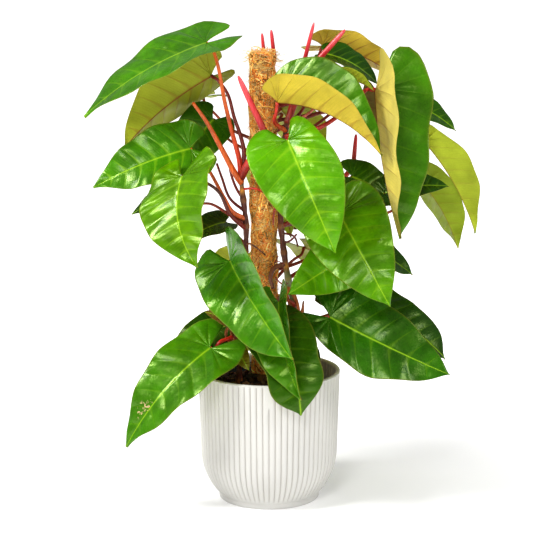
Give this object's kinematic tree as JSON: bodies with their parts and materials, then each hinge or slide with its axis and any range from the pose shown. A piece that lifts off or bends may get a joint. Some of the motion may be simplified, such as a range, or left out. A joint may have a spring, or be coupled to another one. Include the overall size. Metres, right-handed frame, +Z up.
{
  "type": "potted red emerald philodendron",
  "caption": "Climbing philodendron on a coir pole, with glossy arrow-shaped leaves and rolled red new leaves, in a white ribbed pot.",
  "frame": {"origin": "middle of the pot's foot, on its flat underside", "axes": "+Z up along the pot's axis, -Y towards the front of the plant, +X to its right seen from the front"},
  "size_m": [0.5953, 0.378, 0.7362],
  "materials": {
    "pot_ceramic": "matte, off-white",
    "nursery_plastic": "matte, blue-black",
    "potting_mix": "rough, moist",
    "pole_wood": "bare",
    "coir": "coarse fibre mat",
    "stem": "smooth, slightly glossy",
    "leaf": "waxy, glossy",
    "new_leaf_sheath": "smooth, glossy"
  },
  "bodies": {
    "root": {"pot": "pot_ceramic", "nursery_pot": "nursery_plastic", "soil": "potting_mix", "pole_core": "pole_wood", "coir_wrap": "coir", "stem_left": "stem", "stem_right": "stem", "stem_back": "stem", "leaf_top_left": "leaf", "leaf_top_left_under": "leaf", "leaf_mid_left": "leaf", "leaf_hanging_left": "leaf", "leaf_behind_left": "leaf", "leaf_small_left": "leaf", "leaf_back_left": "leaf", "leaf_front_low": "leaf", "leaf_low_left": "leaf", "leaf_low_left_behind": "leaf", "leaf_tiny_left": "leaf", "leaf_low_middle": "leaf", "leaf_over_rim": "leaf", "leaf_small_right": "leaf", "leaf_low_right": "leaf", "leaf_low_right_behind": "leaf", "leaf_cupped_right": "leaf", "leaf_centre_right": "leaf", "leaf_front_centre": "leaf", "leaf_top_centre": "leaf", "leaf_top_right": "leaf", "leaf_right_folded": "leaf", "leaf_far_right_tip": "leaf", "leaf_far_right": "leaf", "leaf_far_right_low": "leaf", "leaf_right_point": "leaf", "leaf_right_inner": "leaf", "leaf_top_right_dark": "leaf", "leaf_top_inner": "leaf", "leaf_brown": "leaf", "leaf_rim_left": "leaf", "leaf_rim_right": "leaf", "leaf_back_top": "leaf", "leaf_back_high_right": "leaf", "leaf_back_middle": "leaf", "leaf_back_right": "leaf", "leaf_back_left_low": "leaf", "leaf_back_right_low": "leaf", "leaf_back_over_rim": "leaf", "new_leaf_left_front": "new_leaf_sheath", "new_leaf_pole_left": "new_leaf_sheath", "new_leaf_pole_right": "new_leaf_sheath", "new_leaf_right_tall": "new_leaf_sheath", "new_leaf_right_thick": "new_leaf_sheath", "new_leaf_back_small": "new_leaf_sheath", "new_leaf_back_low": "new_leaf_sheath"}
  },
  "joints": []
}
